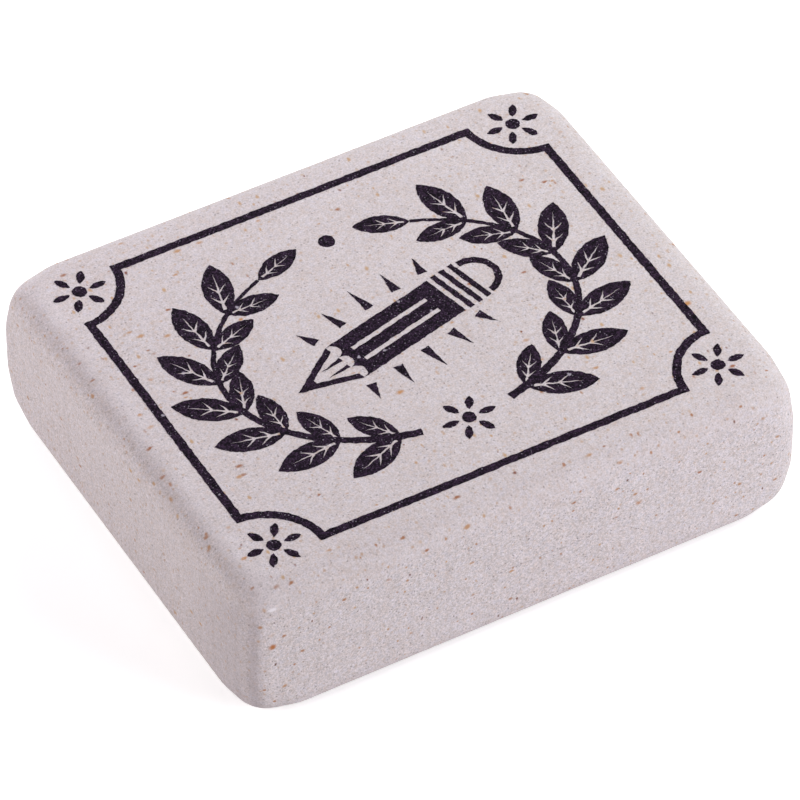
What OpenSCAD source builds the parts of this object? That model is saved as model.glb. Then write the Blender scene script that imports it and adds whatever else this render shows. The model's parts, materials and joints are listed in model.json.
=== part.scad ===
// Rubber eraser: one moulded block of natural rubber with worn, rounded edges.
// Its top face carries a stamped ornament in dark ink: a frame line with bitten
// corners, a leaf wreath and a pencil. The block rests on its bottom face, with
// the origin in the middle of that face, +X along its length and +Z up.

/* [Block] */
// Length of the block
block_length = 40; // [38:0.5:60]
// Width of the block
block_width = 33.8; // [32:0.2:50]
// Thickness of the block
block_thickness = 11.3; // [9:0.1:20]
// Rounding of the block's edges
edge_radius = 1.8; // [0.8:0.1:2.2]
// Rounding of its corners, which wear rounder than the edges
corner_radius = 2.5; // [2.3:0.1:3]
// Distance from a corner over which the wear fades into the edge's own rounding
corner_reach = 4; // [3.5:0.1:4.4]

/* [Ink and frame] */
// Thickness of the ink film
ink_thickness = 0.04; // [0.02:0.01:0.1]
// Bare rubber between the frame line and the rounding of the edge
frame_margin = 1.2; // [1:0.1:1.6]
// Width of the frame line
frame_line = 0.6; // [0.3:0.05:0.8]
// Radius of the bites out of the frame's corners
frame_bite = 3.8; // [3.6:0.1:4.2]
// Radius of the flower in each bite, from its middle to a petal's tip
flower_radius = 1.9; // [1.2:0.1:2]

/* [Wreath] */
// Gap between the frame line and the tips of the outer leaves
wreath_gap = 0.5; // [0.3:0.1:1]
// Pairs of leaves on each branch
leaf_pairs = 7; // [4:1:8]
// Length of a leaf
leaf_length = 4.7; // [3:0.1:4.8]
// Width of a leaf
leaf_width = 2; // [1.2:0.1:2.2]
// Angle between a leaf and its stem
leaf_splay = 38; // [25:1:42]
// Width of the bare vein in a leaf
vein_width = 0.22; // [0.15:0.01:0.3]
// Width of the stem
stem_width = 0.6; // [0.4:0.05:0.7]
// Size of the inner leaves against the outer ones
inner_leaf_share = 0.8; // [0.6:0.05:0.9]

/* [Pencil] */
// Length of the pencil from its point to its eraser end
pencil_length = 17; // [14:0.5:17.5]
// Width of the pencil
pencil_width = 3.6; // [2.5:0.1:3.8]
// Slant of the pencil
pencil_slant = 14; // [0:1:18]
// Length of its sharpened cone
cone_length = 4; // [3:0.1:4.5]
// Width of its drawn lines
pencil_line = 0.5; // [0.3:0.05:0.6]
// Length of the ferrule
ferrule_length = 2.2; // [1.6:0.1:2.6]
// Number of shine strokes above the pencil, and below it
shine_strokes = 5; // [1:2:7]

/* [Hidden] */

$fn = 48;
rubber_colour = "#cfc3c5";
ink_colour = "#28212d";

// Half sizes of the block
half_size = [block_length, block_width, block_thickness] / 2;
ball_facets = 32;

// Half sizes of the frame line's outer edge on the flat of the top face
frame_x = half_size.x - edge_radius - frame_margin;
frame_y = half_size.y - edge_radius - frame_margin;

// Half axes of the oval that the two stems follow
leaf_reach = leaf_length * sin(leaf_splay) + leaf_width / 2 * cos(leaf_splay);
wreath_x = frame_x - frame_line - wreath_gap - leaf_reach;
wreath_y = frame_y - frame_line - wreath_gap - leaf_reach;
// The stems start this far from the bottom of the oval and stop this far from its top
branch_start = 15;
branch_end = 27;
branch_points = 40;
// Bare length of stem below the first leaves, in gaps between leaves
first_leaf = 0.35;
top_dot = 1.1;
// Half widths of a stem at its foot and at its tip, as shares of its width
stem_foot = 0.5;
stem_tip = 0.2;
// Shares of a leaf's length: where its midrib starts, how long that is, and the
// pitch of the side veins along it
midrib_start = 0.1;
vein_share = 0.72;
side_vein_pitch = 0.22;
// Side veins to each side, with their length as a share of the leaf's width and
// their width as a share of the midrib's
side_veins = 2;
side_vein_slant = 40;
side_vein_reach = 0.5;
side_vein_thinning = 0.8;
// A flower's petals, with their length and its dot as shares of its radius
flower_petals = 6;
flower_gap = 0.35;
petal_share = 0.62;
petal_shape = 0.46;
flower_dot = 0.25;

// Sizes inside the pencil, from its point at x = 0
point_length = 0.36 * cone_length;
body_end = pencil_length - ferrule_length - pencil_width * 0.55;
// Faces of the body that show, each with a scallop where it is sharpened
pencil_faces = 3;
face_width = pencil_width / pencil_faces;
face_line = 0.32;
// Strokes of wood grain, the share of the cone that they take and their spread
grain_strokes = 2;
grain_reach = 0.42;
grain_spread = 0.6;
grain_width = 0.7 * pencil_line;
// Bands of the ferrule: the share of the pitch that is inked, and how far they
// stand past the body on each side
ferrule_bands = 3;
band_share = 0.55;
band_overhang = 0.1;
shine_length = 2.1;
shine_width = 0.7;
shine_clearance = 0.7;
shine_pitch = 2.3;
// Turn from each stroke to the next, and the share of its length that it loses
shine_fan = 9;
shine_shortening = 0.14;

// A ball whose poles and equator lie exactly at its radius
module ball(radius) {
    rotate_extrude($fn = ball_facets) intersection() {
        circle(radius, $fn = ball_facets);
        translate([0, -radius]) square([radius, 2 * radius]);
    }
}

// The balls that shape one corner, with that corner of the block at the origin:
// one in the corner itself, and one where each of its three edges begins
module corner_balls() {
    translate(-corner_radius * [1, 1, 1]) ball(corner_radius);
    for (reach = [
        [corner_reach, edge_radius, edge_radius],
        [edge_radius, corner_reach, edge_radius],
        [edge_radius, edge_radius, corner_reach]
    ])
        translate(-reach) ball(edge_radius);
}

module eraser_block() {
    color(rubber_colour) translate([0, 0, half_size.z]) hull()
        for (x = [0, 1], y = [0, 1], z = [0, 1])
            mirror([x, 0, 0]) mirror([0, y, 0]) mirror([0, 0, z])
                translate(half_size) corner_balls();
}

// A pointed leaf along +X from its base at the origin: two arcs that meet in points
module lens(length, width) {
    arc_radius = (length * length / 4 + width * width / 4) / width;
    intersection() {
        translate([length / 2, width / 2 - arc_radius]) circle(arc_radius, $fn = 96);
        translate([length / 2, arc_radius - width / 2]) circle(arc_radius, $fn = 96);
    }
}

// A stroke along +X that narrows from this width at its base to a point
module taper(length, width) {
    polygon([[0, -width / 2], [length, 0], [0, width / 2]]);
}

// A leaf with a bare midrib and side veins
module leaf() {
    difference() {
        lens(leaf_length, leaf_width);
        translate([leaf_length * midrib_start, 0]) taper(leaf_length * vein_share, vein_width);
        for (side = [-1, 1], vein = [1 : side_veins])
            translate([leaf_length * side_vein_pitch * vein, 0])
                rotate(side * side_vein_slant)
                    taper(leaf_width * side_vein_reach, vein_width * side_vein_thinning);
    }
}

// Point of the right-hand stem, at this angle round the oval from its bottom
function stem_point(angle) = [wreath_x * sin(angle), -wreath_y * cos(angle)];
// Heading of the stem there
function stem_heading(angle) = atan2(wreath_y * sin(angle), wreath_x * cos(angle));
function branch_angle(share) = branch_start + (180 - branch_start - branch_end) * share;
function beside(angle, offset) =
    stem_point(angle) + offset * [-sin(stem_heading(angle)), cos(stem_heading(angle))];

// Half the width of a stem, at this share of its length
function stem_half(share) = stem_width * (stem_foot + (stem_tip - stem_foot) * share);

// The stem narrows towards its tip
module stem() {
    shares = [for (i = [0 : branch_points]) i / branch_points];
    inner = [for (share = shares) beside(branch_angle(share), stem_half(share))];
    outer = [for (share = shares) beside(branch_angle(1 - share), -stem_half(1 - share))];
    polygon(concat(inner, outer));
}

// One branch of the wreath: stem, leaves in pairs and a leaf at the tip
module branch() {
    stem();
    for (i = [0 : leaf_pairs - 1]) {
        base = branch_angle((i + first_leaf) / (leaf_pairs + first_leaf));
        translate(stem_point(base)) rotate(stem_heading(base)) {
            rotate(-leaf_splay) leaf();
            rotate(leaf_splay) scale(inner_leaf_share) leaf();
        }
    }
    translate(stem_point(branch_angle(1))) rotate(stem_heading(branch_angle(1)))
        scale(inner_leaf_share) leaf();
}

// Small ornaments in the wreath's two gaps: a flower below, a dot above
module wreath_ends() {
    translate([0, -wreath_y]) flower();
    translate([0, wreath_y]) circle(d = top_dot);
}

// The frame line: a rectangle with a round bite out of each corner
module frame_field(inset) {
    difference() {
        square([2 * (frame_x - inset), 2 * (frame_y - inset)], center = true);
        for (x = [-frame_x, frame_x], y = [-frame_y, frame_y])
            translate([x, y]) circle(frame_bite + inset);
    }
}

module frame() {
    difference() {
        frame_field(0);
        frame_field(frame_line);
    }
}

// A flower of pointed petals round a dot
module flower() {
    petal_length = flower_radius * petal_share;
    for (i = [0 : flower_petals - 1])
        rotate(i * 360 / flower_petals)
            translate([flower_radius - petal_length, 0])
                lens(petal_length, petal_length * petal_shape);
    circle(flower_radius * flower_dot);
}

module flowers() {
    inset = (frame_bite - flower_radius - flower_gap) / sqrt(2);
    for (x = [-1, 1], y = [-1, 1])
        translate([x * (frame_x - inset), y * (frame_y - inset)]) flower();
}

// The pencil, its point at the origin and its eraser end along +X
module pencil() {
    half = pencil_width / 2;
    point_half = half * point_length / cone_length;
    polygon([[0, 0], [point_length, -point_half], [point_length, point_half]]);
    // Edges of the bare wood
    for (side = [-1, 1])
        polygon([
            [point_length, side * point_half],
            [cone_length, side * half],
            [cone_length, side * (half - pencil_line)],
            [point_length, side * (point_half - pencil_line)]
        ]);
    // Grain of the wood
    for (i = [1 : grain_strokes])
        translate([cone_length, half * (2 * i / (grain_strokes + 1) - 1) * grain_spread])
            rotate(180) taper(cone_length * grain_reach, grain_width);
    // Painted body, scalloped where it is sharpened, with bare lines between its faces
    difference() {
        translate([cone_length, -half]) square([body_end - cone_length, pencil_width]);
        for (i = [0 : pencil_faces - 1])
            translate([cone_length, face_width * (i + 0.5) - half]) circle(face_width / 2);
        for (i = [1 : pencil_faces - 1])
            translate([cone_length + face_width, face_width * i - half - face_line / 2])
                square([body_end - cone_length - 2 * face_width, face_line]);
    }
    // Ferrule
    band_pitch = ferrule_length / ferrule_bands;
    for (i = [0 : ferrule_bands - 1])
        translate([body_end + band_pitch * (i + 1 - band_share), -half - band_overhang])
            square([band_pitch * band_share, pencil_width + 2 * band_overhang]);
    // Round end, drawn in outline
    translate([body_end + ferrule_length + pencil_line / 2, 0]) difference() {
        round_end(half);
        round_end(half - pencil_line);
    }
}

// A half disc that bulges to +X
module round_end(radius) {
    intersection() {
        circle(radius);
        translate([0, -radius]) square([radius, 2 * radius]);
    }
}

// Short tapered strokes that fan out on both sides of the pencil
module shine() {
    middle = (shine_strokes - 1) / 2;
    for (side = [-1, 1], i = [0 : shine_strokes - 1])
        translate([(i - middle) * shine_pitch, side * (pencil_width / 2 + shine_clearance)])
            rotate(side * (90 - (i - middle) * shine_fan))
                taper(shine_length * (1 - shine_shortening * abs(i - middle)), shine_width);
}

module printed_design() {
    color(ink_colour) translate([0, 0, block_thickness])
        linear_extrude(height = ink_thickness) {
            frame();
            flowers();
            branch();
            mirror([1, 0]) branch();
            wreath_ends();
            rotate(pencil_slant) {
                translate([-pencil_length / 2, 0]) pencil();
                shine();
            }
        }
}

eraser_block();
printed_design();
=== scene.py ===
import json
import math

import bpy
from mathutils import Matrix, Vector

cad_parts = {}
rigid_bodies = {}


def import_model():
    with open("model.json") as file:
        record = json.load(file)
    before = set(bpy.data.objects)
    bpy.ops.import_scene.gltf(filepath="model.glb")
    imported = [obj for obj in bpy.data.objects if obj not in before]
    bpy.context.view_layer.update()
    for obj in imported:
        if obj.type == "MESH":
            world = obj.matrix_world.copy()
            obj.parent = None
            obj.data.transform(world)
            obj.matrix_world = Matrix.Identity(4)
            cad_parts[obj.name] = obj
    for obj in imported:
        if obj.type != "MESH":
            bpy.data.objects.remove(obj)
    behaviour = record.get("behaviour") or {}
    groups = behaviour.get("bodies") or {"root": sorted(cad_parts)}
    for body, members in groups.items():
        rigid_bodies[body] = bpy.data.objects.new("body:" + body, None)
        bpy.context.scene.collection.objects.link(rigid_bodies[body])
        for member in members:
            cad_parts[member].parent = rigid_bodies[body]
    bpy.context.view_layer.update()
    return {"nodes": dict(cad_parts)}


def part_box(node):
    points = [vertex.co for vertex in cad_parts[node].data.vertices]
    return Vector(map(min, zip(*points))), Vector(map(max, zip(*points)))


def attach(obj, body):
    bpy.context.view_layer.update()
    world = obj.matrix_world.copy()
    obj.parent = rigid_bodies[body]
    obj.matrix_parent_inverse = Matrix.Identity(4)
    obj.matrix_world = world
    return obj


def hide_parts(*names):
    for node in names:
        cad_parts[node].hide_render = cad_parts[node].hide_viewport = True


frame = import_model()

mm = 0.001
mergeReach = 0.002 * mm  # corners nearer than this become one
blockLow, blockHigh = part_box("eraser_block")
inkLow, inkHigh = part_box("printed_design")
blockMiddle = (blockLow + blockHigh) / 2


def deselectAll():
    for thing in bpy.context.scene.objects:
        thing.select_set(False)


def pick(piece):  # makes one piece the only selected and the active one
    deselectAll()
    piece.select_set(True)
    bpy.context.view_layer.objects.active = piece


def copyOfNode(nodeName, pieceName):
    # a copy of a CAD node's mesh as a piece of its own, its loose triangles merged
    piece = bpy.data.objects.new(pieceName, frame["nodes"][nodeName].data.copy())
    bpy.context.scene.collection.objects.link(piece)
    piece.data.materials.clear()
    pick(piece)
    bpy.ops.object.mode_set(mode="EDIT")
    bpy.ops.mesh.select_all(action="SELECT")
    bpy.ops.mesh.remove_doubles(threshold=mergeReach)
    bpy.ops.object.mode_set(mode="OBJECT")
    return piece


def applyModifier(piece, kind, **settings):
    modifier = piece.modifiers.new(kind.lower(), kind)
    for name, value in settings.items():
        setattr(modifier, name, value)
    pick(piece)
    bpy.ops.object.modifier_apply(modifier=modifier.name)


def displace(piece, texture, reach, still, way="NORMAL"):
    # moves the surface; where the texture is as bright as still, it stays
    applyModifier(
        piece, "DISPLACE", texture=texture, strength=reach, mid_level=still,
        direction=way, texture_coords="LOCAL",
    )


def clouds(name, size, depth):  # soft noise for a Displace modifier
    texture = bpy.data.textures.new(name, "CLOUDS")
    texture.noise_scale = size
    texture.noise_depth = depth
    texture.noise_basis = "ORIGINAL_PERLIN"
    return texture


def pits(name, apart, share):  # round hollows at scattered points, share of the way to the next
    texture = bpy.data.textures.new(name, "VORONOI")
    texture.noise_scale = apart
    texture.use_color_ramp = True
    ramp = texture.color_ramp
    ramp.interpolation = "EASE"
    ramp.elements[0].position = 0.0
    ramp.elements[0].color = (0, 0, 0, 1)
    ramp.elements[1].position = share
    ramp.elements[1].color = (1, 1, 1, 1)
    return texture


def triangleCount(piece):
    return sum(len(face.vertices) - 2 for face in piece.data.polygons)


class Signal:
    # a node's output that can be added, multiplied and compared
    def __init__(self, recipe, socket):
        self.recipe = recipe
        self.socket = socket

    def maths(self, operation, first, second=0.0):
        return self.recipe.node("ShaderNodeMath", {"operation": operation}, {0: first, 1: second})

    def __add__(self, other):
        return self.maths("ADD", self, other)

    __radd__ = __add__

    def __sub__(self, other):
        return self.maths("SUBTRACT", self, other)

    def __rsub__(self, other):
        return self.maths("SUBTRACT", other, self)

    def __mul__(self, other):
        return self.maths("MULTIPLY", self, other)

    __rmul__ = __mul__

    def __lt__(self, other):
        return self.maths("LESS_THAN", self, other)

    def __gt__(self, other):
        return self.maths("GREATER_THAN", self, other)

    def __abs__(self):
        return self.maths("ABSOLUTE", self)

    def larger(self, other):
        return self.maths("MAXIMUM", self, other)

    def rise(self, low, high):  # 0 below low, 1 above high, smooth between
        return self.recipe.node(
            "ShaderNodeMapRange",
            {"interpolation_type": "SMOOTHSTEP"},
            {"Value": self, "From Min": low, "From Max": high},
        )

    def fall(self, low, high):
        return 1 - self.rise(low, high)


class Recipe:
    # the nodes of one material or world
    def __init__(self, owner):
        owner.use_nodes = True
        self.owner = owner
        self.tree = owner.node_tree
        self.tree.nodes.clear()

    def node(self, kind, settings=None, inputs=None, output=0):
        made = self.tree.nodes.new(kind)
        for name, value in (settings or {}).items():
            setattr(made, name, value)
        for name, value in (inputs or {}).items():
            if isinstance(value, Signal):
                self.tree.links.new(value.socket, made.inputs[name])
            else:
                made.inputs[name].default_value = value
        return Signal(self, made.outputs[output])

    def other(self, signal, output):  # another output of the same node
        return Signal(self, signal.socket.node.outputs[output])

    def vectors(self, operation, inputs, output=0):
        return self.node("ShaderNodeVectorMath", {"operation": operation}, inputs, output)

    def place(self):  # object coordinates in millimetres
        spot = self.node("ShaderNodeTexCoord", output="Object")
        return self.vectors("SCALE", {0: spot, "Scale": 1 / mm})

    def parts(self, vector):
        x = self.node("ShaderNodeSeparateXYZ", {}, {0: vector})
        return x, self.other(x, 1), self.other(x, 2)

    def noise(self, spot, scale, detail, output=0):
        return self.node(
            "ShaderNodeTexNoise", {"noise_dimensions": "3D"},
            {"Vector": spot, "Scale": scale, "Detail": detail}, output,
        )

    def cells(self, spot, apart):
        # the distance to the nearest of many scattered points, and three numbers of that point's own
        distance = self.node(
            "ShaderNodeTexVoronoi", {"voronoi_dimensions": "3D", "feature": "F1"},
            {"Vector": spot, "Scale": 1 / apart, "Randomness": 1.0}, output="Distance",
        )
        return distance, self.parts(self.other(distance, "Color"))

    def shaken(self, spot, reach, scale):  # a place moved to and fro by noise
        shake = self.noise(spot, scale, 1.0, output="Color")
        centred = self.vectors("SUBTRACT", {0: shake, 1: (0.5, 0.5, 0.5)})
        move = self.vectors("SCALE", {0: centred, "Scale": reach})
        return self.vectors("ADD", {0: spot, 1: move})

    def mix(self, factor, first, second, blend="MIX"):
        return self.node(
            "ShaderNodeMix", {"data_type": "RGBA", "blend_type": blend},
            {0: factor, 6: first, 7: second}, output=2,
        )

    def matte(self, base, roughness, specular, height, depth):  # depth in millimetres
        relief = self.node(
            "ShaderNodeBump", {}, {"Height": height, "Strength": 1.0, "Distance": depth * mm}
        )
        return self.node(
            "ShaderNodeBsdfPrincipled", {},
            {
                "Base Color": base,
                "Roughness": roughness,
                "Specular IOR Level": specular,
                "Normal": relief,
            },
        )

    def seen(self):  # 1 for the camera and for what mirrors or glass show it, 0 for light
        camera = self.node("ShaderNodeLightPath", output="Is Camera Ray")
        mirror = self.other(camera, "Is Glossy Ray")
        glass = self.other(camera, "Is Transmission Ray")
        return camera.larger(mirror.larger(glass))

    def finish(self, surface, end="ShaderNodeOutputMaterial"):
        last = self.tree.nodes.new(end)
        self.tree.links.new(surface.socket, last.inputs["Surface"])
        return self.owner


def colour(red, green, blue):  # a colour written as it shows on screen, 0 to 255
    def linear(level):  # the sRGB curve undone
        share = level / 255
        return share / 12.92 if share <= 0.04045 else ((share + 0.055) / 1.055) ** 2.4
    return (linear(red), linear(green), linear(blue), 1.0)


def disc(distance, size, apart, largest, smallest, core):
    # cover of round dots; largest is a radius in mm, smallest a share of it, core the part in full colour
    radius = (size * (1 - smallest) + smallest) * (largest / apart)
    return distance.fall(radius * core, radius)


def weighted(zones, weights):  # the zones that weights names, each times its weight, added up
    amounts = [zones[zone] * weight for zone, weight in weights.items()]
    total = amounts[0]
    for amount in amounts[1:]:
        total = total + amount
    return total


studioCamera = {
    "azimuth": -29.55,
    "elevation": 44.98,
    "distance": 431.7 * mm,
    "aimFromMiddle": (-0.198 * mm, -0.736 * mm, -0.058 * mm),
    "lens": 305.3,
    "sensor": 36.0,
    "clip": (0.01, 20),
}


def direction(azimuth, elevation):  # a unit vector, both angles in degrees, 0 azimuth in front
    turn, lift = math.radians(azimuth), math.radians(elevation)
    return Vector((math.sin(turn) * math.cos(lift), -math.cos(turn) * math.cos(lift), math.sin(lift)))


def makeCamera():
    back = direction(studioCamera["azimuth"], studioCamera["elevation"])
    data = bpy.data.cameras.new("studioCamera")
    data.sensor_width = studioCamera["sensor"]
    data.lens = studioCamera["lens"]
    data.clip_start, data.clip_end = studioCamera["clip"]
    camera = bpy.data.objects.new("studioCamera", data)
    bpy.context.scene.collection.objects.link(camera)
    camera.location = blockMiddle + Vector(studioCamera["aimFromMiddle"]) + back * studioCamera["distance"]
    camera.rotation_euler = back.to_track_quat("Z", "Y").to_euler()
    bpy.context.scene.camera = camera
    print("camera placed")


rubberLook = {
    "pale": colour(219, 210, 214),
    "deep": colour(211, 201, 204),
    "tan": colour(198, 176, 165),
    "cool": colour(212, 207, 222),
    # painted shade: the colour mixed in where shade falls by the front left corner, along the left top
    # edge and on the left side
    "paintedShade": colour(150, 138, 146),
    "fissure": colour(150, 132, 134),
    "frost": colour(224, 216, 222),
    "nickWhite": colour(242, 236, 242),

    # a noise is its scale per mm and its detail, a span is where a mask starts and ends
    "clouds": {"broad": (0.22, 3.0), "small": (1.7, 3.0), "span": (0.3, 0.7), "top": 0.45, "sides": 0.2},
    "mottle": {"span": (0.42, 0.85), "layers": (((2.9, 3.0), 0.33), ((1.1, 3.0), 0.18))},
    "sand": {
        "noise": (4.3, 2.0),
        "tanSpan": (0.45, 0.8),
        "tan": 0.38,
        "coolSpan": (0.2, 0.5),
        "cool": 0.42,
    },
    "grain": {"noise": (9.7, 1.5), "tint": (0.98, 1.0, 1.0), "contrast": 0.74},
    "moreGrain": {"rough": 0.38, "calm": 0.25, "worn": 0.3},
    "streaks": {"noise": (2.4, 3.0), "stretch": (1, 1, 0.06), "contrast": 0.17},

    "zones": {  # spans in mm in from the left side, from the front side or the top, or of a noise
        "side": {"top": (0.9, 2.3)},
        "calm": {"left": (0.4, 1.6)},
        "worn": {"left": (1.8, 3.4), "top": (0.7, 2.1), "noise": (0.35, 2.0), "span": (0.35, 0.6)},
        "frosted": {"left": (0.7, 1.5), "sand": (0.35, 0.65), "strength": 0.6},
        # painted shade: a dark band on the left side just behind the front left corner
        "corner": {"front": (1.9, 8.9), "left": (2.0, 4.0), "across": (-1.6, -0.6)},
        # painted shade: a dark band along the upright front left corner
        "uprightEdgeShade": {"middle": 0.2, "across": (0.0, 1.0), "out": (1.9, 3.9)},
        # painted shade: a dark band along the left top edge
        "rim": {"left": (1.0, 2.1), "outside": (0.2, 0.8), "top": (0.7, 1.9)},
        # painted shade: the left side darker towards the front
        "leftFrontShade": {"front": (2.9, 22.9)},
    },
    # how strongly each zone is darkened with painted shade
    "paintedShadeAmounts": {"corner": 0.24, "uprightEdgeShade": 0.28, "rim": 0.08, "leftFrontShade": 0.07},

    "shakes": ((0.14, 4.3), (0.05, 13.0)),  # mm, per mm
    "smallestBlot": 0.35,  # share of the largest radius
    "blotCore": 0.25,  # share of a radius in full colour
    "crowding": {"worn": 0.3, "rough": -0.04, "calm": -0.12},
    "sootOn": {"all": 0.65, "rough": 0.35},
    "blots": {  # mm apart, largest radius in mm, share present, stretch, strength, two colours
        "soot": (0.27, 0.1, 0.75, (1, 1, 1), 1.0, (168, 152, 152), (130, 114, 116)),
        "dust": (0.53, 0.17, 0.8, (1, 1, 1), 0.85, (204, 180, 164), (188, 154, 132)),
        "crumbs": (0.7, 0.195, 0.6, (1, 0.6, 1), 0.95, (202, 168, 134), (172, 116, 78)),
        "slivers": (0.82, 0.215, 0.4, (0.55, 1, 0.8), 0.95, (196, 152, 114), (158, 98, 60)),
        "chips": (2.1, 0.28, 0.5, (0.65, 0.9, 0.8), 1.0, (204, 154, 100), (172, 98, 54)),
        "rust": (1.3, 0.17, 0.45, (1, 0.8, 0.7), 1.0, (136, 84, 68), (98, 56, 44)),
    },
    "hairline": {
        "from": -3.2,
        "to": 6.4,
        "taper": 1.0,
        "height": 5.4,
        "width": 0.06,
        "core": 0.3,
        "wander": ((0.8, 2.0), 0.5),  # noise, mm
        "lift": ((3.8, 6.2), 0.4),  # x in mm, mm
        "broken": ((3.5, 1.0), (0.42, 0.6)),  # noise, span
        "strength": 0.7,
    },
    "nick": {
        "middle": (-18.05, -16.5, 9.99),
        "lean": (0, -10, -10),
        "size": (0.45, 0.4, 0.14),
        "soft": (0.3, 1.0),
    },
    "relief": {"grain": 0.6, "sand": 0.4, "depth": 0.02},
    "moreSandRelief": {"worn": 1.8, "side": -0.15},
    "roughness": 0.94,
    "smootherGrain": 0.12,
    "specular": 0.35,
}


def rubberZones(recipe, spot):  # where the block differs and where shade is painted, each zone from 0 to 1
    spans = rubberLook["zones"]
    x, y, z = recipe.parts(spot)
    left = x - blockLow.x / mm
    front = y - blockLow.y / mm
    top = blockHigh.z / mm - z
    across = left - front  # 0 at the front left corner, less along the left side, more along the front
    zones = {"side": top.rise(*spans["side"]["top"])}
    zones["calm"] = zones["side"] * left.fall(*spans["calm"]["left"])
    zones["rough"] = zones["side"] - zones["calm"]
    # painted shade: the left side darker towards the front
    zones["leftFrontShade"] = zones["calm"] * front.fall(*spans["leftFrontShade"]["front"])

    worn = spans["worn"]
    edge = left.fall(*worn["left"]) * top.fall(*worn["top"])
    zones["worn"] = edge * recipe.noise(spot, *worn["noise"]).rise(*worn["span"])
    zones["frosted"] = zones["worn"] * left.rise(*spans["frosted"]["left"])

    # painted shade: a dark band on the left side just behind the front left corner
    corner = spans["corner"]
    near = front.fall(*corner["front"]) * left.fall(*corner["left"])
    zones["corner"] = near * across.fall(*corner["across"]) * zones["side"]

    # painted shade: a dark band along the upright front left corner, where the light from the front fades
    uprightEdgeShade = spans["uprightEdgeShade"]
    uprightEdgeBand = abs(across - uprightEdgeShade["middle"]).fall(*uprightEdgeShade["across"])
    zones["uprightEdgeShade"] = uprightEdgeBand * (left + front).fall(*uprightEdgeShade["out"]) * zones["side"]

    # painted shade: a dark band along the left top edge
    rim = spans["rim"]
    zones["rim"] = left.fall(*rim["left"]) * left.rise(*rim["outside"]) * top.fall(*rim["top"])
    return zones


def bodyColour(recipe, spot, sand, zones):  # clouds of pale and deep, mottled and sanded with tan
    look = rubberLook
    cloudy, mottled, sandy = look["clouds"], look["mottle"], look["sand"]
    broad = recipe.noise(spot, *cloudy["broad"]).rise(*cloudy["span"])
    small = recipe.noise(spot, *cloudy["small"]).rise(*cloudy["span"])
    depth = cloudy["top"] - zones["side"] * (cloudy["top"] - cloudy["sides"])
    base = recipe.mix((broad + small) * depth, look["pale"], look["deep"])
    for noise, strength in mottled["layers"]:
        base = recipe.mix(recipe.noise(spot, *noise).rise(*mottled["span"]) * strength, base, look["tan"])
    base = recipe.mix(sand.rise(*sandy["tanSpan"]) * sandy["tan"], base, look["tan"])
    return recipe.mix(sand.fall(*sandy["coolSpan"]) * sandy["cool"], base, look["cool"])


def grainOn(recipe, spot, grain, zones, base):  # the fine grain, and streaks down the sides
    streaks = rubberLook["streaks"]
    drawn = recipe.vectors("MULTIPLY", {0: spot, 1: streaks["stretch"]})
    streak = (recipe.noise(drawn, *streaks["noise"]) - 0.5) * zones["side"]
    contrast = weighted(zones, rubberLook["moreGrain"]) + rubberLook["grain"]["contrast"]
    level = (grain - 0.5) * contrast + streak * streaks["contrast"]
    light = recipe.vectors("MULTIPLY_ADD", {0: level, 1: rubberLook["grain"]["tint"], 2: (1, 1, 1)})
    return recipe.mix(1.0, base, light, "MULTIPLY")


def hairlineOn(recipe, spot, base):  # a faint dark line along the middle of the front side
    line = rubberLook["hairline"]
    x, y, z = recipe.parts(spot)
    noise, reach = line["wander"]
    wander = (recipe.noise(spot, *noise) - 0.5) * reach
    span, lift = line["lift"]
    level = z - line["height"] - wander - x.rise(*span) * lift
    thin = abs(level).fall(line["width"] * line["core"], line["width"])
    noise, span = line["broken"]
    broken = recipe.noise(spot, *noise).rise(*span)
    start = x.rise(line["from"], line["from"] + line["taper"])
    end = x.fall(line["to"] - line["taper"], line["to"])
    onFront = y < blockLow.y / mm / 2
    cover = thin * broken * start * end * onFront * line["strength"]
    return recipe.mix(cover, base, rubberLook["fissure"])


def blotsOn(recipe, spot, zones, base):  # specks of filler, the dark soot first and the rust last
    look = rubberLook
    for reach, scale in look["shakes"]:
        spot = recipe.shaken(spot, reach, scale)
    crowding = weighted(zones, look["crowding"])
    for name, (apart, largest, share, stretch, strength, light, dark) in look["blots"].items():
        pulled = recipe.vectors("MULTIPLY", {0: spot, 1: stretch})
        distance, (chance, size, hue) = recipe.cells(pulled, apart)
        cover = disc(distance, size, apart, largest, look["smallestBlot"], look["blotCore"])
        cover = cover * (chance < crowding + share) * strength
        if name == "soot":
            cover = cover * (zones["rough"] * look["sootOn"]["rough"] + look["sootOn"]["all"])
        base = recipe.mix(cover, base, recipe.mix(hue, colour(*light), colour(*dark)))
    return base


def nickOn(recipe, spot, base):  # a pale scratch where the top meets the front left corner
    nick = rubberLook["nick"]
    turned = recipe.node(
        "ShaderNodeMapping", {"vector_type": "TEXTURE"},
        {
            "Vector": spot,
            "Location": nick["middle"],
            "Rotation": [math.radians(turn) for turn in nick["lean"]],
            "Scale": nick["size"],
        },
    )
    length = recipe.vectors("LENGTH", {0: turned}, output="Value")
    return recipe.mix(length.fall(*nick["soft"]), base, rubberLook["nickWhite"])


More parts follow.
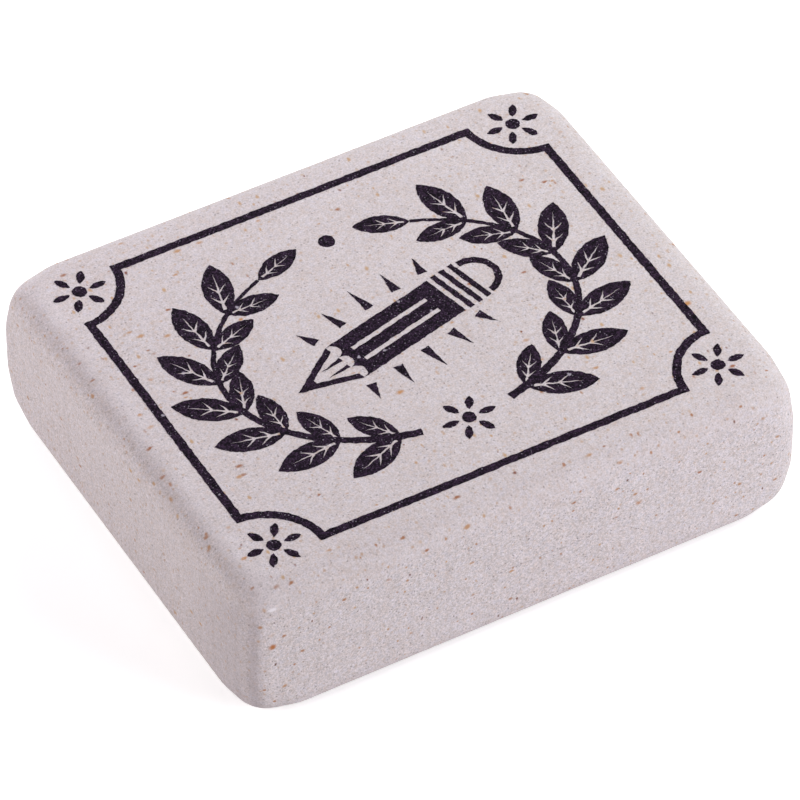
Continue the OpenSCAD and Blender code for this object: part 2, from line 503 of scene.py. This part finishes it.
def rubberFinish():
    look = rubberLook
    recipe = Recipe(bpy.data.materials.new("speckledRubber"))
    spot = recipe.place()
    zones = rubberZones(recipe, spot)
    sand = recipe.noise(spot, *look["sand"]["noise"])
    grain = recipe.noise(spot, *look["grain"]["noise"])
    base = bodyColour(recipe, spot, sand, zones)
    base = grainOn(recipe, spot, grain, zones, base)
    # painted shade mixed into the colour
    base = recipe.mix(weighted(zones, look["paintedShadeAmounts"]), base, look["paintedShade"])
    base = hairlineOn(recipe, spot, base)
    base = blotsOn(recipe, spot, zones, base)
    frosted = look["zones"]["frosted"]
    bare = zones["frosted"] * sand.rise(*frosted["sand"]) * frosted["strength"]
    base = recipe.mix(bare, base, look["frost"])
    base = nickOn(recipe, spot, base)
    relief = look["relief"]
    height = grain * relief["grain"] + sand * (weighted(zones, look["moreSandRelief"]) + relief["sand"])
    roughness = look["roughness"] - grain * look["smootherGrain"]
    return recipe.finish(recipe.matte(base, roughness, look["specular"], height, relief["depth"]))


rubberBlock = {
    "voxel": 0.216 * mm,
    "smoothing": (0.5, 8),  # share of the way each turn, turns
    "dents": {  # how broad and how deep, inwards only
        "sag": (9 * mm, 0.03 * mm),
        "lumps": (1.7 * mm, 0.01 * mm),
        "grain": (0.5 * mm, 0.017 * mm),
    },
    "dentDetail": 2,
    "pits": (1.4 * mm, 0.18, 0.04 * mm),  # how far apart, how broad as a share of that, how deep
}


def makeBlock():
    block = copyOfNode("eraser_block", "eraserBlock")
    inwards = 1.0
    share, turns = rubberBlock["smoothing"]
    applyModifier(block, "REMESH", mode="VOXEL", voxel_size=rubberBlock["voxel"])
    applyModifier(block, "SMOOTH", factor=share, iterations=turns)
    for name, (size, depth) in rubberBlock["dents"].items():
        displace(block, clouds(name, size, rubberBlock["dentDetail"]), depth, inwards)
    apart, share, depth = rubberBlock["pits"]
    displace(block, pits("pits", apart, share), depth, inwards)
    bpy.ops.object.shade_smooth()
    block.data.materials.append(rubberFinish())
    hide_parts("eraser_block")
    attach(block, "root")
    print("block made:", triangleCount(block), "triangles")
    return block


inkLook = {
    "deep": colour(3, 0, 5),
    "thin": colour(66, 47, 71),
    "hole": colour(170, 162, 176),
    "body": {"noise": (2.2, 3.0), "span": (0.35, 0.75), "share": 0.25},
    "grain": {"noise": (9.0, 2.0), "span": (0.42, 0.7), "share": 0.75},
    "pinholes": {"apart": 0.22, "largest": 0.066, "smallest": 0.4, "core": 0.4},
    "pinholeShake": (0.08, 7.0),  # mm, per mm
    "pinholeStrength": 0.85,
    "faintest": 0.2,
    "voids": {"apart": 1.5, "largest": 0.2, "smallest": 0.3, "core": 0.5},
    "voidShake": (0.2, 3.0),
    "voidShare": 0.4,
    "holeDepth": 0.5,
    "poreDepth": 0.01,
    "roughness": 0.85,
    "smootherGrain": 0.3,
    "specular": 0.04,
}


def inkFinish():
    look = inkLook
    recipe = Recipe(bpy.data.materials.new("stampedInk"))
    spot = recipe.place()
    grain = recipe.noise(spot, *look["grain"]["noise"])
    body = recipe.noise(spot, *look["body"]["noise"]).rise(*look["body"]["span"])
    faded = body * look["body"]["share"] + grain.rise(*look["grain"]["span"]) * look["grain"]["share"]
    spot = recipe.shaken(spot, *look["pinholeShake"])
    distance, numbers = recipe.cells(spot, look["pinholes"]["apart"])
    strength = numbers[1] * (1 - look["faintest"]) + look["faintest"]
    pinholes = disc(distance, numbers[0], **look["pinholes"]) * strength * look["pinholeStrength"]
    spot = recipe.shaken(spot, *look["voidShake"])
    distance, numbers = recipe.cells(spot, look["voids"]["apart"])
    voids = disc(distance, numbers[0], **look["voids"]) * (numbers[1] < look["voidShare"])
    holes = pinholes.larger(voids)
    base = recipe.mix(holes, recipe.mix(faded, look["deep"], look["thin"]), look["hole"])
    height = grain - holes * look["holeDepth"]
    roughness = look["roughness"] - grain * look["smootherGrain"]
    return recipe.finish(recipe.matte(base, roughness, look["specular"], height, look["poreDepth"]))


inkFilm = {
    "cell": 0.44 * mm,
    "cuts": 2,
    "cutReach": 0.0001 * mm,
    "upright": 0.5,  # a face whose normal rises less than this isn't part of the top
    "edges": {  # how broad and how far the outline wanders
        "rag": (0.3 * mm, 0.15 * mm),
        "fray": (0.16 * mm, 0.09 * mm),
    },
    "edgeDetail": 1,
    "stretches": {"X": 1.0, "Y": 1.13},  # so that the two ways don't wander alike
    "smoothing": (0.5, 1),  # share of the way each turn, turns
    "facesKept": 0.5,
    "thickness": 0.03 * mm,
    "proudShare": 0.4,
    "creaseAngle": 40,
}


def keepTopFaces(piece):
    pick(piece)
    bpy.ops.object.mode_set(mode="EDIT")
    bpy.ops.mesh.select_mode(type="FACE")
    bpy.ops.mesh.select_all(action="DESELECT")
    bpy.ops.object.mode_set(mode="OBJECT")
    for face in piece.data.polygons:
        face.select = face.normal.z < inkFilm["upright"]
    bpy.ops.object.mode_set(mode="EDIT")
    bpy.ops.mesh.delete(type="FACE")
    bpy.ops.object.mode_set(mode="OBJECT")


def sliceIntoCells(piece, cell):  # cuts a flat film along a square grid
    pick(piece)
    bpy.ops.object.mode_set(mode="EDIT")
    for axis in (0, 1):
        count = int((inkHigh[axis] - inkLow[axis]) / cell)
        normal = [0, 0, 0]
        normal[axis] = 1
        for step in range(1, count + 1):
            point = [0, 0, 0]
            point[axis] = inkLow[axis] + step * cell
            bpy.ops.mesh.select_all(action="SELECT")
            bpy.ops.mesh.bisect(plane_co=point, plane_no=normal, threshold=inkFilm["cutReach"])
    bpy.ops.mesh.select_all(action="SELECT")
    bpy.ops.mesh.remove_doubles(threshold=mergeReach)
    bpy.ops.mesh.select_all(action="SELECT")
    bpy.ops.mesh.quads_convert_to_tris(quad_method="BEAUTY", ngon_method="BEAUTY")
    bpy.ops.mesh.subdivide(number_cuts=inkFilm["cuts"])
    bpy.ops.object.mode_set(mode="OBJECT")


def makeInk(block):
    ink = copyOfNode("printed_design", "printedDesign")
    bothWays = 0.5
    keepTopFaces(ink)
    sliceIntoCells(ink, inkFilm["cell"])
    for name, (size, reach) in inkFilm["edges"].items():
        for axis, stretch in inkFilm["stretches"].items():
            texture = clouds(name + axis, size * stretch, inkFilm["edgeDetail"])
            displace(ink, texture, reach, bothWays, axis)
    share, turns = inkFilm["smoothing"]
    applyModifier(ink, "SMOOTH", factor=share, iterations=turns)
    applyModifier(
        ink, "SHRINKWRAP", target=block, wrap_method="PROJECT", use_project_z=True,
        use_negative_direction=True, use_positive_direction=True, offset=0.0,
    )
    applyModifier(ink, "DECIMATE", ratio=inkFilm["facesKept"])
    applyModifier(
        ink, "SOLIDIFY", thickness=inkFilm["thickness"], offset=inkFilm["proudShare"], use_rim=True,
    )
    bpy.ops.object.shade_smooth_by_angle(angle=math.radians(inkFilm["creaseAngle"]))
    ink.data.materials.append(inkFinish())
    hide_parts("printed_design")
    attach(ink, "root")
    print("ink made:", triangleCount(ink), "triangles")


studio = {
    "floorSize": 3.0,
    "floorGap": 0.01 * mm,
    "floorColour": (0.9, 0.9, 0.9, 1.0),
    "floorGlow": 0.5,
    "lampDistance": 600 * mm,
    "lamps": {  # degrees round from the front, degrees up, metres across, watts, tint
        "frontRight": (30, 18, 0.22, 1.6, (0.985, 1, 1)),
        "behindRight": (150, 18, 0.22, 1.475, (0.985, 1, 0.985)),
        "left": (285, 36, 0.3, 1.47, (1, 0.94, 0.928)),
        "right": (90, 36, 0.3, 0.84, (0.99, 1, 0.985)),
        "behindLeft": (225, 6, 0.1, 0.55, (0.93, 1, 0.875)),
    },
    "panelHeight": 70 * mm,
    "panelSize": 60 * mm,
    "panels": {  # x and y in mm of small panels that face down, watts, tint
        "panelFront": (40, -65, 0.015, (0.85, 0.83, 1)),
        "panelBack": (0, 70, 0.0198, (0.9, 0.9, 1)),
        "panelRight": (70, 0, 0.018, (0.92, 1, 0.87)),
        "panelLeft": (-65, 40, 0.0132, (0.955, 0.89, 1)),
    },
}


def makeFloor():
    deselectAll()
    bpy.ops.mesh.primitive_plane_add(
        size=studio["floorSize"], location=(0, 0, blockLow.z - studio["floorGap"])
    )
    floor = bpy.context.object
    floor.name = "floor"
    recipe = Recipe(bpy.data.materials.new("floorWhite"))
    lit = recipe.node("ShaderNodeBsdfDiffuse", {}, {"Color": studio["floorColour"]})
    glow = recipe.node("ShaderNodeEmission", {}, {"Strength": recipe.seen() * studio["floorGlow"]})
    floor.data.materials.append(recipe.finish(recipe.node("ShaderNodeAddShader", {}, {0: lit, 1: glow})))
    print("floor laid")


def makeWorld():  # pale where it is seen, and no light of its own
    recipe = Recipe(bpy.data.worlds.new("studioWorld"))
    pale = recipe.node("ShaderNodeBackground", {}, {"Strength": recipe.seen()})
    bpy.context.scene.world = recipe.finish(pale, "ShaderNodeOutputWorld")
    print("world set")


def hangLamp(name, place, back, size, power, tint):  # a round lamp that faces away from back
    data = bpy.data.lights.new(name, "AREA")
    data.shape = "DISK"
    data.size = size
    data.energy = power
    data.color = tint
    lamp = bpy.data.objects.new(name, data)
    bpy.context.scene.collection.objects.link(lamp)
    lamp.location = place
    lamp.rotation_euler = back.to_track_quat("Z", "Y").to_euler()


def makeLamps():
    for name, (azimuth, elevation, size, power, tint) in studio["lamps"].items():
        away = direction(azimuth, elevation)
        hangLamp(name, blockMiddle + away * studio["lampDistance"], away, size, power, tint)
    for name, (x, y, power, tint) in studio["panels"].items():
        place = Vector((x * mm, y * mm, studio["panelHeight"]))
        hangLamp(name, place, Vector((0, 0, 1)), studio["panelSize"], power, tint)
    print("lamps hung:", len(studio["lamps"]) + len(studio["panels"]))


makeCamera()
eraserBlock = makeBlock()
makeInk(eraserBlock)
makeFloor()
makeWorld()
makeLamps()
bpy.context.scene.view_settings.view_transform = "Standard"
deselectAll()
